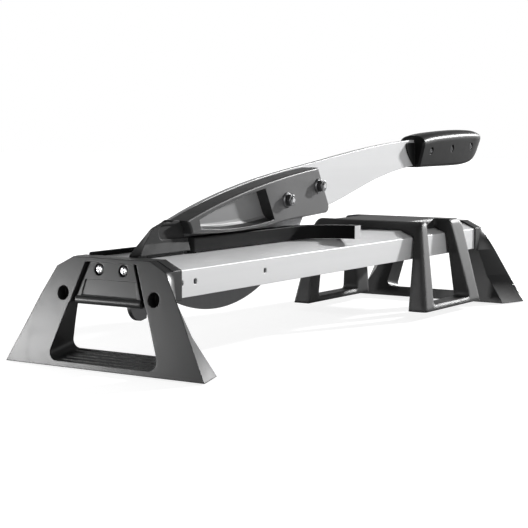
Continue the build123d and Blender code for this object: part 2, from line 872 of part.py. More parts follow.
with BuildPart() as cover_nuts:
    for x, z in cover_bolts_at:
        with BuildSketch(upright(cover_front)):
            with Locations((x, z)):
                Circle(7.1)
                Circle(cover_bolt_radius + bearing_gap, mode=Mode.SUBTRACT)
        extrude(amount=1.4)
        with BuildSketch(upright(cover_front - 1.4)):
            with Locations((x, z)):
                RegularPolygon(5.0, 6, major_radius=False)
                Circle(cover_bolt_radius + bearing_gap, mode=Mode.SUBTRACT)
        extrude(amount=4.6)
cover_nuts.part.label = "cover_nuts"
export_step(cover_nuts.part, "parts/cover_nuts.step")

# Grip: domed body in two half shells, with a thin tongue along each side of the arm
grip_rim = 2.4
grip_sections = [
    (grip_rim, 44.3, 78.5, 1.0),
    (27.0, 44.5, 81.3, 1.0),
    (52.0, 44.5, 82.7, 1.0),
    (77.0, 44.5, 83.7, 1.0),
    (102.0, 44.9, 84.3, 0.99),
    (127.0, 47.3, 84.0, 0.96),
]
grip_end_sections = [
    grip_sections[-1],
    (139.0, 51.3, 83.3, 0.92),
    (grip_length, 61.0, 80.9, 0.78),
]
shoulder_drop = 8.0


def grip_section(low, high, share):
    """Domed section of the grip between two heights above the pivot, narrower at its foot."""
    wide = grip_half_width * share
    narrow = grip_foot_width * share
    bottom = pivot_height + low
    top = pivot_height + high
    shoulder = top - shoulder_drop * share
    with BuildSketch() as section:
        with BuildLine():
            ThreePointArc(
                (arm_middle + wide, shoulder),
                (arm_middle, top),
                (arm_middle - wide, shoulder),
            )
            Polyline(
                (arm_middle - wide, shoulder),
                (arm_middle - narrow, bottom),
                (arm_middle + narrow, bottom),
                (arm_middle + wide, shoulder),
            )
        make_face()
        fillet(section.vertices().group_by(Axis.Y)[-1], 5.0 * share)
        fillet(section.vertices().group_by(Axis.Y)[0], 4.0 * share)
    return section.sketch


with BuildPart() as grip_body:
    for reach, low, high, share in grip_sections:
        with BuildSketch(across(grip_start + reach)):
            add(grip_section(low, high, share))
    loft()
    for reach, low, high, share in grip_end_sections:
        with BuildSketch(across(grip_start + reach)):
            add(grip_section(low, high, share))
    loft()
    # Bevelled rim about the arm
    rim_low, rim_high, rim_share = grip_sections[0][1:]
    with BuildSketch(across(grip_start)):
        add(grip_section(rim_low + grip_rim, rim_high - grip_rim, rim_share - 0.15))
    with BuildSketch(across(grip_start + grip_rim)):
        add(grip_section(rim_low, rim_high, rim_share))
    loft(ruled=True)
    fillet(grip_body.faces().sort_by(Axis.X)[-1].edges(), 2.2)
    # Tongues
    with BuildSketch(upright(arm_middle)):
        with BuildLine():
            Line(lever_point(grip_reach + 4.0, 70.9), lever_point(grip_reach - 15.5, 70.9))
            ThreePointArc(
                lever_point(grip_reach - 15.5, 70.9),
                lever_point(grip_reach - 18.2, 69.8),
                lever_point(grip_reach - 19.2, 67.0),
            )
            Spline(
                lever_point(grip_reach - 19.2, 67.0),
                lever_point(grip_reach - 17.0, 62.1),
                lever_point(grip_reach - 13.0, 56.7),
                lever_point(grip_reach - 7.5, 51.1),
                lever_point(grip_reach - 1.0, 45.5),
            )
            Polyline(lever_point(grip_reach - 1.0, 45.5), lever_point(grip_reach + 4.0, 45.5), lever_point(grip_reach + 4.0, 70.9))
        make_face()
    extrude(amount=arm_thickness / 2 + tongue_wall, both=True)


grip_seat_y = arm_middle - grip_half_width + 5.0
grip_screw_head = 3.5


def grip_half(keep):
    """One half of the grip, hollowed for the arm."""
    with BuildPart() as half:
        add(grip_body.part)
        split(bisect_by=upright(arm_middle), keep=keep)
        add(lever_arm.part, mode=Mode.SUBTRACT)
        for x, z in grip_screws_at:
            with Locations(along_y(x, arm_middle, z)):
                Cylinder(2.1, 60.0, mode=Mode.SUBTRACT)
            with Locations(along_y(x, grip_seat_y - 10.0, z)):
                Cylinder(grip_screw_head + 0.4, 20.0, mode=Mode.SUBTRACT)
    return half.part


with BuildPart() as grip_front:
    add(grip_half(Keep.TOP))
grip_front.part.label = "grip_front"
export_step(grip_front.part, "parts/grip_front.step")

with BuildPart() as grip_rear:
    add(grip_half(Keep.BOTTOM))
grip_rear.part.label = "grip_rear"
export_step(grip_rear.part, "parts/grip_rear.step")

with BuildPart() as grip_screws:
    for x, z in grip_screws_at:
        with BuildSketch(upright(grip_seat_y)):
            with Locations((x, z)):
                Circle(grip_screw_head)
        extrude(amount=2.0)
        with BuildSketch(upright(grip_seat_y)):
            with Locations((x, z)):
                Circle(1.9)
        extrude(amount=-18.0)
grip_screws.part.label = "grip_screws"
export_step(grip_screws.part, "parts/grip_screws.step")

# Mitre fence: a bar with a quarter bend at its free end
bend_x = from_left(fence_bend)
fence_back = fence_middle + fence_width / 2
fence_front = fence_middle - fence_width / 2
bend_outer = fence_bend_radius + fence_width
bend_y = fence_front - fence_bend_radius
half_turn = math.sqrt(0.5)
with BuildPart() as mitre_fence:
    with BuildSketch(level(fence_bottom)):
        with BuildLine():
            Line((fence_x, fence_back), (bend_x, fence_back))
            ThreePointArc(
                (bend_x, fence_back),
                (bend_x + bend_outer * half_turn, bend_y + bend_outer * half_turn),
                (bend_x + bend_outer, bend_y),
            )
            Line((bend_x + bend_outer, bend_y), (bend_x + fence_bend_radius, bend_y))
            ThreePointArc(
                (bend_x + fence_bend_radius, bend_y),
                (bend_x + fence_bend_radius * half_turn, bend_y + fence_bend_radius * half_turn),
                (bend_x, fence_front),
            )
            Line((bend_x, fence_front), (fence_x, fence_front))
            ThreePointArc(
                (fence_x, fence_front),
                (fence_x - fence_width / 2, fence_middle),
                (fence_x, fence_back),
            )
        make_face()
    extrude(amount=fence_height)
    fillet(mitre_fence.faces().sort_by(Axis.Z)[-1].edges(), 0.8)
    with Locations((fence_x, fence_middle, fence_bottom)):
        Cylinder(fence_shoulder + bearing_gap, 4 * fence_height, mode=Mode.SUBTRACT)
    with Locations((fence_x, fence_middle, fence_top)):
        Cylinder(fence_head + running_gap, 2 * fence_sink, mode=Mode.SUBTRACT)
mitre_fence.part.label = "mitre_fence"
export_step(mitre_fence.part, "parts/mitre_fence.step")

# Shoulder screw, nut and washer of the fence
fence_head_z = fence_top - fence_sink + running_gap
fence_nut_top = table_height - rail_wall
fence_nut_height = 4.0
with BuildPart() as fence_screw:
    with BuildSketch(level(fence_head_z)):
        with Locations((fence_x, fence_middle)):
            Circle(fence_head)
    extrude(amount=fence_sink - 2 * running_gap)
    with BuildSketch(level(table_height)):
        with Locations((fence_x, fence_middle)):
            Circle(fence_shoulder)
    extrude(amount=fence_head_z - table_height)
    with BuildSketch(level(table_height)):
        with Locations((fence_x, fence_middle)):
            Circle(fence_thread)
    extrude(amount=-(rail_wall + fence_nut_height + 1.0))
fence_screw.part.label = "fence_screw"
export_step(fence_screw.part, "parts/fence_screw.step")

with BuildPart() as fence_nut:
    with BuildSketch(level(fence_nut_top)):
        with Locations((fence_x, fence_middle)):
            RegularPolygon(3.95, 6, major_radius=False)
            Circle(fence_thread + bearing_gap, mode=Mode.SUBTRACT)
    extrude(amount=-fence_nut_height)
fence_nut.part.label = "fence_nut"
export_step(fence_nut.part, "parts/fence_nut.step")

with BuildPart() as fence_washer:
    with BuildSketch(level(table_height)):
        with Locations((fence_x, fence_middle)):
            Circle(5.2)
            Circle(fence_shoulder + bearing_gap, mode=Mode.SUBTRACT)
    extrude(amount=fence_lift - running_gap)
fence_washer.part.label = "fence_washer"
export_step(fence_washer.part, "parts/fence_washer.step")

# Plank support: a saddle trestle that sits on the rails
support_seat = table_height + running_gap
support_top = support_seat + support_plate
foot_half_x = 64.8
foot_half_y = 77.5
top_half_x = 47.8
top_half_y = 62.0
saddle_gap = 2.0
window_reach = 44.0
with BuildPart() as plank_support:
    with BuildSketch(level(support_bottom)):
        with Locations((support_centre, 0)):
            Rectangle(2 * foot_half_x, 2 * foot_half_y)
    with BuildSketch(level(support_top)):
        with Locations((support_centre, 0)):
            Rectangle(2 * top_half_x, 2 * top_half_y)
    loft(ruled=True)
    fillet(plank_support.edges().group_by(Axis.Z)[-1].filter_by(Axis.Y), 12.0)
    fillet(plank_support.faces().sort_by(Axis.Z)[-1].edges().filter_by(Axis.X), 4.0)
    # Channel that straddles the rails
    with BuildSketch(across(support_centre - 100.0)):
        Polygon(*both_sides([
            (rail_outer + saddle_gap + 2.0, support_bottom - 5.0),
            (rail_outer + saddle_gap, shoulder_height),
            (rail_flat + 1.0, support_seat),
        ]))
    extrude(amount=200.0, mode=Mode.SUBTRACT)
    # Windows in the front and rear frames, open through the plate's edge
    for side in (-1, 1):
        with BuildSketch(upright(side * window_reach)) as window:
            Polygon(
                (support_centre - 44.8, support_bottom + 5.5),
                (support_centre + 39.2, support_bottom + 5.5),
                (support_centre + 18.0, support_top + 3.0),
                (support_centre - 34.0, support_top + 3.0),
            )
            fillet(window.vertices().group_by(Axis.Y)[0], 3.0)
        extrude(amount=-side * 60.0, mode=Mode.SUBTRACT)
    # Hanging hole
    with Locations((support_centre + 34.0, 5.0, support_top)):
        Cylinder(3.0, 40.0, mode=Mode.SUBTRACT)
plank_support.part.label = "plank_support"
export_step(plank_support.part, "parts/plank_support.step")
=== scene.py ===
"""Looks of the laminate flooring cutter, dressed over its CAD frame (metres, Z up)."""
import json
import math

import bmesh
import bpy
from mathutils import Matrix, Vector
from mathutils.bvhtree import BVHTree


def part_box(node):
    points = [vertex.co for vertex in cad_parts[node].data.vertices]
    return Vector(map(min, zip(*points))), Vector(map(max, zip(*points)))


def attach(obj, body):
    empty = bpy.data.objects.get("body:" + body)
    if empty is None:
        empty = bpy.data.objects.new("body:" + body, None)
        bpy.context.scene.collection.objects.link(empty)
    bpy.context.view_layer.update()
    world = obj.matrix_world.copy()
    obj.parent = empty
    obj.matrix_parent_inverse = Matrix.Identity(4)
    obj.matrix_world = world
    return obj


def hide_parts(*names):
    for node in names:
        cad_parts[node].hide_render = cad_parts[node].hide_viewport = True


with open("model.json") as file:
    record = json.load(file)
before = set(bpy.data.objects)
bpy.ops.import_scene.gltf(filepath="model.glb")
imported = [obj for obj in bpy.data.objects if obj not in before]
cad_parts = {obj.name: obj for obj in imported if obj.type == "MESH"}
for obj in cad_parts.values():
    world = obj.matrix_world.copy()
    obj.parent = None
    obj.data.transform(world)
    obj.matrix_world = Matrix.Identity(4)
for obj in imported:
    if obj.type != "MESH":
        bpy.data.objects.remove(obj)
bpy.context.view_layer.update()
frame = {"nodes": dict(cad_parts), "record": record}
nodes = frame["nodes"]


# Node groups that the finishes share
def start_group(name, inputs, outputs):
    """New shader group with named number sockets; gives back the tree and its two ends."""
    tree = bpy.data.node_groups.new(name, "ShaderNodeTree")
    for label, value in inputs.items():
        kind = "NodeSocketVector" if isinstance(value, tuple) else "NodeSocketFloat"
        socket = tree.interface.new_socket(label, in_out="INPUT", socket_type=kind)
        socket.default_value = value
    for label in outputs:
        tree.interface.new_socket(label, in_out="OUTPUT", socket_type="NodeSocketFloat")
    return tree, tree.nodes.new("NodeGroupInput"), tree.nodes.new("NodeGroupOutput")


def noise_in(tree, vector, scale, detail=3.0, roughness=0.55):
    """Noise texture inside a tree; scale may be a number or a socket."""
    noise = tree.nodes.new("ShaderNodeTexNoise")
    noise.inputs["Detail"].default_value = detail
    noise.inputs["Roughness"].default_value = roughness
    tree.links.new(vector, noise.inputs["Vector"])
    if isinstance(scale, (int, float)):
        noise.inputs["Scale"].default_value = scale
    else:
        tree.links.new(scale, noise.inputs["Scale"])
    return noise.outputs["Fac"]


def math_in(tree, operation, a, b=None, c=None):
    """Math node inside a tree, fed by numbers or sockets."""
    node = tree.nodes.new("ShaderNodeMath")
    node.operation = operation
    for place, value in enumerate((a, b, c)):
        if value is None:
            continue
        if isinstance(value, (int, float)):
            node.inputs[place].default_value = value
        else:
            tree.links.new(value, node.inputs[place])
    return node.outputs[0]


def spread_in(tree, value, low, high, to_low=0.0, to_high=1.0):
    """Map a value from one span to another, kept inside the new span."""
    node = tree.nodes.new("ShaderNodeMapRange")
    node.inputs["From Min"].default_value = low
    node.inputs["From Max"].default_value = high
    node.inputs["To Min"].default_value = to_low
    node.inputs["To Max"].default_value = to_high
    tree.links.new(value, node.inputs["Value"])
    return node.outputs["Result"]


def make_moulded_grain():
    """Spark-eroded skin of moulded plastic: fine pits, soft flow marks and faint handling haze."""
    tree, into, out = start_group("moulded_grain", {"Grain": 1400.0}, ("Pits", "Flow", "Haze"))
    place = tree.nodes.new("ShaderNodeTexCoord").outputs["Object"]
    cells = tree.nodes.new("ShaderNodeTexVoronoi")
    cells.feature = "SMOOTH_F1"
    tree.links.new(place, cells.inputs["Vector"])
    tree.links.new(into.outputs["Grain"], cells.inputs["Scale"])
    fine = noise_in(tree, place, into.outputs["Grain"], 2.0)
    pits = math_in(tree, "MULTIPLY_ADD", fine, 0.6, math_in(tree, "MULTIPLY", cells.outputs["Distance"], 0.4))
    tree.links.new(pits, out.inputs["Pits"])
    tree.links.new(noise_in(tree, place, 22.0, 4.0), out.inputs["Flow"])
    haze = spread_in(tree, noise_in(tree, place, 60.0, 5.0, 0.65), 0.42, 0.7)
    tree.links.new(haze, out.inputs["Haze"])
    return tree


def make_drawn_lines():
    """Long lines left by drawing, brushing or grinding; the stretch sets their direction."""
    inputs = {"Stretch": (6.0, 900.0, 900.0)}
    tree, into, out = start_group("drawn_lines", inputs, ("Lines", "Bands", "Stain"))
    place = tree.nodes.new("ShaderNodeTexCoord").outputs["Object"]
    scaled = tree.nodes.new("ShaderNodeVectorMath")
    scaled.operation = "MULTIPLY"
    tree.links.new(place, scaled.inputs[0])
    tree.links.new(into.outputs["Stretch"], scaled.inputs[1])
    tree.links.new(noise_in(tree, scaled.outputs[0], 1.0, 2.0), out.inputs["Lines"])
    tree.links.new(noise_in(tree, scaled.outputs[0], 0.12, 3.0), out.inputs["Bands"])
    stain = spread_in(tree, noise_in(tree, place, 30.0, 5.0, 0.6), 0.38, 0.72)
    tree.links.new(stain, out.inputs["Stain"])
    return tree


def make_rubbed_edges():
    """Mask of the edges that hands and planks rub, broken up by noise."""
    tree, into, out = start_group("rubbed_edges", {"Width": 0.0008, "Patch": 120.0}, ("Rub",))
    bevel = tree.nodes.new("ShaderNodeBevel")
    bevel.samples = 4
    tree.links.new(into.outputs["Width"], bevel.inputs["Radius"])
    face = tree.nodes.new("ShaderNodeNewGeometry")
    meet = tree.nodes.new("ShaderNodeVectorMath")
    meet.operation = "DOT_PRODUCT"
    tree.links.new(bevel.outputs["Normal"], meet.inputs[0])
    tree.links.new(face.outputs["Normal"], meet.inputs[1])
    edge = spread_in(tree, math_in(tree, "SUBTRACT", 1.0, meet.outputs["Value"]), 0.03, 0.25)
    place = tree.nodes.new("ShaderNodeTexCoord").outputs["Object"]
    patch = spread_in(tree, noise_in(tree, place, into.outputs["Patch"], 4.0), 0.4, 0.62)
    tree.links.new(math_in(tree, "MULTIPLY", edge, patch), out.inputs["Rub"])
    return tree


def make_front_zone():
    """Masks over the faces that look to the front: by their depth, and by their place along the part."""
    inputs = {"Depth": -0.018, "Depth Fade": 0.002, "Along": -0.16, "Along Fade": 0.06}
    tree, into, out = start_group("front_zone", inputs, ("Depth", "Along"))
    place = tree.nodes.new("ShaderNodeSeparateXYZ")
    tree.links.new(tree.nodes.new("ShaderNodeTexCoord").outputs["Object"], place.inputs[0])
    look = tree.nodes.new("ShaderNodeSeparateXYZ")
    tree.links.new(tree.nodes.new("ShaderNodeNewGeometry").outputs["Normal"], look.inputs[0])
    front = spread_in(tree, look.outputs["Y"], -0.9, -0.7, 1.0, 0.0)
    for label, axis in (("Depth", "Y"), ("Along", "X")):
        past = math_in(tree, "SUBTRACT", place.outputs[axis], into.outputs[label])
        share = math_in(tree, "DIVIDE", past, into.outputs[label + " Fade"])
        share = math_in(tree, "MINIMUM", math_in(tree, "MAXIMUM", share, 0.0), 1.0)
        tree.links.new(math_in(tree, "MULTIPLY", share, front), out.inputs[label])
    return tree


# Black coat that the fence and the black plastic share
BLACK_DARK = (0.009, 0.0091, 0.0094)
BLACK_LIGHT = (0.011, 0.0111, 0.0114)
BLACK_RUBBED = (0.025, 0.025, 0.026)

moulded_grain = make_moulded_grain()
drawn_lines = make_drawn_lines()
rubbed_edges = make_rubbed_edges()
front_zone = make_front_zone()


class Finish:
    """A material with its Principled shader and short ways to feed it."""

    def __init__(self, name, **sockets):
        self.material = bpy.data.materials.new(name)
        self.material.use_nodes = True
        self.tree = self.material.node_tree
        self.shader = self.tree.nodes["Principled BSDF"]
        for label, value in sockets.items():
            self.shader.inputs[label.replace("_", " ")].default_value = value

    def group(self, tree, **values):
        node = self.tree.nodes.new("ShaderNodeGroup")
        node.node_tree = tree
        for label, value in values.items():
            node.inputs[label].default_value = value
        return node.outputs

    def tint(self, mask, low, high):
        """Colour that runs from low to high with a mask."""
        ramp = self.tree.nodes.new("ShaderNodeValToRGB")
        ramp.color_ramp.elements[0].color = (*low, 1.0)
        ramp.color_ramp.elements[1].color = (*high, 1.0)
        self.tree.links.new(mask, ramp.inputs["Fac"])
        return ramp.outputs["Color"]

    def over(self, below, above, mask):
        """One colour laid over another through a mask."""
        mix = self.tree.nodes.new("ShaderNodeMix")
        mix.data_type = "RGBA"
        self.tree.links.new(mask, mix.inputs["Factor"])
        self.tree.links.new(below, mix.inputs[6])
        if isinstance(above, tuple):
            mix.inputs[7].default_value = (*above, 1.0)
        else:
            self.tree.links.new(above, mix.inputs[7])
        return mix.outputs[2]

    def span(self, mask, low, high):
        return spread_in(self.tree, mask, 0.25, 0.75, low, high)

    def feed(self, label, socket):
        self.tree.links.new(socket, self.shader.inputs[label])

    def bump(self, height, distance, strength, soften=0.0):
        """Fine relief, over edges that catch the light as if rounded by a radius."""
        node = self.tree.nodes.new("ShaderNodeBump")
        if soften:
            edge = self.tree.nodes.new("ShaderNodeBevel")
            edge.samples = 6
            edge.inputs["Radius"].default_value = soften
            self.tree.links.new(edge.outputs["Normal"], node.inputs["Normal"])
        node.inputs["Distance"].default_value = distance
        node.inputs["Strength"].default_value = strength
        self.tree.links.new(height, node.inputs["Height"])
        self.feed("Normal", node.outputs["Normal"])


def moulded_plastic(name, dark, light, rub, rough, grain, depth, sheen=0.5, soften=0.0011):
    """Moulded plastic: flow marks in the colour, pitted skin, paler rubbed edges that catch soft light."""
    finish = Finish(name, Specular_IOR_Level=sheen)
    skin = finish.group(moulded_grain, Grain=grain)
    edges = finish.group(rubbed_edges)
    finish.feed("Base Color", finish.over(finish.tint(skin["Flow"], dark, light), rub, edges["Rub"]))
    finish.feed("Roughness", finish.span(skin["Haze"], rough[0], rough[1]))
    finish.bump(skin["Pits"], depth, 0.5, soften)
    return finish.material


def drawn_metal(name, dark, light, rough, stretch, depth, rub, metal=1.0):
    """Metal with drawn or brushed lines, faint stains and brighter edges."""
    finish = Finish(name, Metallic=metal)
    lines = finish.group(drawn_lines, Stretch=stretch)
    edges = finish.group(rubbed_edges, Width=0.0004, Patch=200.0)
    shade = finish.over(finish.tint(lines["Bands"], dark, light), rub, edges["Rub"])
    finish.feed("Base Color", shade)
    finish.feed("Roughness", finish.span(lines["Lines"], rough[0], rough[1]))
    finish.bump(lines["Lines"], depth, 0.35)
    return finish.material


def cover_with_painted_light():
    """Cover's grey plastic: glossy dark frame, with painted light on the faces that look to the front: a
    paler block at the nuts, and the palest recess floor, painted to lift the shade that the recess wall
    throws.
    """
    finish = Finish("cover_plastic", Specular_IOR_Level=0.4)
    skin = finish.group(moulded_grain, Grain=1200.0)
    edges = finish.group(rubbed_edges)
    zone = finish.group(front_zone)
    frame_shade = finish.tint(skin["Flow"], (0.046, 0.0462, 0.047), (0.054, 0.0542, 0.0551))
    # Painted light: faces that look to the front are painted paler than the frame, and the recess floor
    # palest, to lift the shade in the recess.
    nut_block_painted_light = (0.14, 0.1405, 0.142)
    recess_floor_painted_light = (0.27, 0.2708, 0.274)
    rubbed = (0.16, 0.16, 0.163)
    shade = finish.over(frame_shade, nut_block_painted_light, zone["Along"])
    shade = finish.over(shade, recess_floor_painted_light, zone["Depth"])
    finish.feed("Base Color", finish.over(shade, rubbed, edges["Rub"]))
    finish.feed("Roughness", finish.span(skin["Haze"], 0.38, 0.46))
    finish.bump(skin["Pits"], 0.00005, 0.5, 0.0008)
    return finish.material


def cut_end_black():
    """Fence's black coat, sawn through to bare metal at its front end."""
    finish = Finish("fence_black", Specular_IOR_Level=0.05)
    skin = finish.group(moulded_grain, Grain=1600.0)
    edges = finish.group(rubbed_edges)
    end = finish.group(front_zone, Depth=-0.0584, **{"Depth Fade": -0.0001})
    bare_metal = (0.72, 0.722, 0.728)
    shade = finish.over(finish.tint(skin["Flow"], BLACK_DARK, BLACK_LIGHT), BLACK_RUBBED, edges["Rub"])
    finish.feed("Base Color", finish.over(shade, bare_metal, end["Depth"]))
    finish.feed("Roughness", finish.span(skin["Haze"], 0.5, 0.58))
    finish.bump(skin["Pits"], 0.00004, 0.5, 0.0006)
    return finish.material


# Finishes
foot_plastic = moulded_plastic(
    "foot_plastic", dark=(0.026, 0.0262, 0.0268), light=(0.03, 0.0302, 0.0308), rub=(0.05, 0.05, 0.051),
    rough=(0.37, 0.4), grain=1500.0, depth=0.00009, sheen=0.4)
support_plastic = moulded_plastic(
    "support_plastic", dark=(0.018, 0.0182, 0.0187), light=(0.022, 0.0222, 0.0227), rub=(0.045, 0.045, 0.046),
    rough=(0.5, 0.56), grain=1500.0, depth=0.00001, sheen=0.62, soften=0.006)
black_plastic = moulded_plastic(
    "black_plastic", dark=BLACK_DARK, light=BLACK_LIGHT, rub=BLACK_RUBBED,
    rough=(0.52, 0.6), grain=1600.0, depth=0.00004, sheen=0.1)
# Cover with painted light: its front-facing block and recess floor are painted paler.
cover_plastic = cover_with_painted_light()
grip_plastic = moulded_plastic(
    "grip_plastic", dark=(0.008, 0.0081, 0.0083), light=(0.01, 0.0101, 0.0103), rub=(0.016, 0.016, 0.0165),
    rough=(0.4, 0.44), grain=1800.0, depth=0.00001, sheen=0.2)
pad_rubber = moulded_plastic(
    "pad_rubber", dark=(0.014, 0.014, 0.014), light=(0.02, 0.02, 0.02), rub=(0.04, 0.04, 0.04),
    rough=(0.7, 0.85), grain=900.0, depth=0.0001, sheen=0.3)
bracket_coat = moulded_plastic(
    "bracket_coat", dark=(0.02, 0.0201, 0.0205), light=(0.024, 0.0241, 0.0246), rub=(0.05, 0.05, 0.05),
    rough=(0.6, 0.68), grain=700.0, depth=0.00005, sheen=0.14)
rail_aluminium = drawn_metal(
    "rail_aluminium", dark=(0.74, 0.743, 0.748), light=(0.78, 0.783, 0.788), rough=(0.44, 0.52),
    stretch=(5.0, 1400.0, 1400.0), depth=0.00002, rub=(0.76, 0.76, 0.76), metal=0.25)
arm_metal = drawn_metal(
    "arm_metal", dark=(0.62, 0.623, 0.628), light=(0.66, 0.663, 0.668), rough=(0.42, 0.5),
    stretch=(12.0, 900.0, 900.0), depth=0.00002, rub=(0.72, 0.72, 0.72), metal=0.3)
blade_steel = drawn_metal(
    "blade_steel", dark=(0.13, 0.131, 0.134), light=(0.16, 0.161, 0.164), rough=(0.34, 0.44),
    stretch=(700.0, 700.0, 20.0), depth=0.00001, rub=(0.4, 0.4, 0.41))
zinc_steel = drawn_metal(
    "zinc_steel", dark=(0.54, 0.543, 0.55), light=(0.6, 0.603, 0.61), rough=(0.26, 0.34),
    stretch=(900.0, 900.0, 900.0), depth=0.00001, rub=(0.8, 0.8, 0.81))
bush_bronze = drawn_metal(
    "bush_bronze", dark=(0.4, 0.26, 0.12), light=(0.55, 0.38, 0.19), rough=(0.38, 0.52),
    stretch=(1200.0, 1200.0, 1200.0), depth=0.00004, rub=(0.65, 0.48, 0.26))

finish_of = {
    "foot_plastic": foot_plastic, "pad_rubber": pad_rubber, "rail_aluminium": rail_aluminium,
    "black_plastic": black_plastic, "bracket_coat": bracket_coat, "arm_metal": arm_metal,
    "blade_steel": blade_steel, "cover_plastic": cover_plastic, "grip_plastic": grip_plastic,
    "support_plastic": support_plastic, "zinc_steel": zinc_steel, "bush_bronze": bush_bronze,
}
slot_of = {row["node"]: row["material_slot"] for row in frame["record"]["subparts"]}
for node, obj in nodes.items():
    obj.data.materials.clear()
    obj.data.materials.append(finish_of[slot_of[node]])
nodes["mitre_fence"].data.materials[0] = cut_end_black()


# Pieces made here
def keep_piece(name, mesh, body, slot, *stands_for):
    """Mesh in the part's frame made a piece that rides on a body and stands for CAD nodes."""
    mesh.materials.clear()
    mesh.materials.append(finish_of[slot])
    piece = bpy.data.objects.new(name, mesh)
    bpy.context.scene.collection.objects.link(piece)
    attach(piece, body)
    if stands_for:
        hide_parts(*stands_for)
    return piece


def smooth_mesh(name, bm, degrees=32.0):
    """Mesh from a bmesh, shaded smooth except across sharp edges."""
    bmesh.ops.recalc_face_normals(bm, faces=bm.faces[:])
    mesh = bpy.data.meshes.new(name)
    bm.to_mesh(mesh)
    bm.free()
    mesh.shade_smooth()
    mesh.set_sharp_from_angle(angle=math.radians(degrees))
    return mesh


def round_over(name, node, body, width, steps=3):
    """Copy of a CAD node with its outer edges rounded over, inside the node's own box."""
    low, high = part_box(node)
    same_point = 2e-6
    flat_angle = math.radians(0.6)
    edge_angle = math.radians(28.0)
    bm = bmesh.new()
    bm.from_mesh(nodes[node].data)
    bmesh.ops.remove_doubles(bm, verts=bm.verts[:], dist=same_point)
    bmesh.ops.dissolve_limit(bm, angle_limit=flat_angle, verts=bm.verts[:], edges=bm.edges[:])
    edges = [edge for edge in bm.edges if edge.is_convex and edge.calc_face_angle(0.0) > edge_angle]
    bmesh.ops.bevel(bm, geom=edges, offset=width, offset_type="OFFSET", segments=steps, profile=0.5,
                    affect="EDGES", clamp_overlap=False)
    for vert in bm.verts:
        vert.co = [min(max(c, a), b) for c, a, b in zip(vert.co, low, high)]
    piece = keep_piece(name, smooth_mesh(name, bm, 38.0), body, slot_of[node], node)
    even = piece.modifiers.new("even_normals", "WEIGHTED_NORMAL")
    even.keep_sharp = True
    return piece


def skin_rings(bm, rings):
    """Faces between rings of points; a ring of one point closes an end."""
    for low, high in zip(rings, rings[1:]):
        count = max(len(low), len(high))
        for i in range(count):
            j = (i + 1) % count
            if len(low) == 1:
                bm.faces.new((low[0], high[j], high[i]))
            elif len(high) == 1:
                bm.faces.new((low[i], low[j], high[0]))
            else:
                bm.faces.new((low[i], low[j], high[j], high[i]))


def turned(bm, profile, around=48):
    """Turned body about Z from (radius, height) points; a radius may be a function of the angle."""
    rings = []
    for radius, height in profile:
        if radius == 0:
            rings.append([bm.verts.new((0.0, 0.0, height))])
            continue
        ring = []
        for i in range(around):
            angle = 2 * math.pi * i / around
            reach = radius(angle) if callable(radius) else radius
            ring.append(bm.verts.new((reach * math.cos(angle), reach * math.sin(angle), height)))
        rings.append(ring)
    skin_rings(bm, rings)


def hexagon(flat, limit):
    """Radius of a hexagon with the given half width over flats, its corners turned down to a limit."""
    def reach(angle):
        corner = (angle % (math.pi / 3)) - math.pi / 6
        return min(flat / math.cos(corner), limit)
    return reach


def thread_profile(radius, start, stop, pitch, depth):
    """Rings of a thread as ridges between two heights."""
    turns = max(1, int(abs(stop - start) / pitch))
    step = (stop - start) / turns
    profile = []
    for i in range(turns):
        profile += [(radius - depth, start + step * i), (radius, start + step * (i + 0.5))]
    return profile + [(radius - depth, stop)]


def cross_cutter(width, reach, top, depth):
    """Tapered cross that a driver fits, pointing down from a height."""
    bm = bmesh.new()
    rings = []
    for share, height in ((1.0, top), (0.45, top - depth)):
        w, r = width * (0.55 + 0.45 * share), reach * share
        outline = [(w, r), (-w, r), (-w, w), (-r, w), (-r, -w), (-w, -w), (-w, -r), (w, -r),
                   (w, -w), (r, -w), (r, w), (w, w)]
        rings.append([bm.verts.new((x, y, height)) for x, y in outline])
    skin_rings(bm, rings)
    bm.faces.new(rings[0])
    bm.faces.new(list(reversed(rings[1])))
    return smooth_mesh("cross_cutter", bm)


def carved(mesh, cutter):
    """Mesh with a cutter's shape taken out of it."""
    body = bpy.data.objects.new("carving", mesh)
    tool = bpy.data.objects.new("carving_tool", cutter)
    for obj in (body, tool):
        bpy.context.scene.collection.objects.link(obj)
    cut = body.modifiers.new("cut", "BOOLEAN")
    cut.object = tool
    cut.solver = "EXACT"
    bpy.context.view_layer.update()
    done = bpy.data.meshes.new_from_object(body.evaluated_get(bpy.context.evaluated_depsgraph_get()))
    for obj in (body, tool):
        bpy.data.objects.remove(obj)
    done.shade_smooth()
    done.set_sharp_from_angle(angle=math.radians(32.0))
    return done


def pan_screw(head, height, shank, length):
    """Pan-head screw with a cross recess, seat at the origin, head up."""
    bm = bmesh.new()
    turned(bm, [(0, height), (head * 0.5, height), (head * 0.74, height * 0.93), (head * 0.9, height * 0.74),
                (head * 0.98, height * 0.45), (head, height * 0.15), (head * 0.98, 0.0), (shank, 0.0)]
           + thread_profile(shank, -0.0006, -length + 0.0008, 0.0007, 0.00022)
           + [(shank * 0.5, -length), (0, -length)])
    body = smooth_mesh("pan_screw", bm)
    return carved(body, cross_cutter(head * 0.19, head * 0.7, height + 0.0002, height * 0.85))


def set_along(mesh, axis, places):
    """One mesh with a copy of another at each place, its Z turned to an axis."""
    turn = Vector((0.0, 0.0, 1.0)).rotation_difference(Vector(axis)).to_matrix().to_4x4()
    bm = bmesh.new()
    for place in places:
        copy = mesh.copy()
        copy.transform(Matrix.Translation(place) @ turn)
        bm.from_mesh(copy)
        bpy.data.meshes.remove(copy)
    return smooth_mesh(mesh.name + "_set", bm)


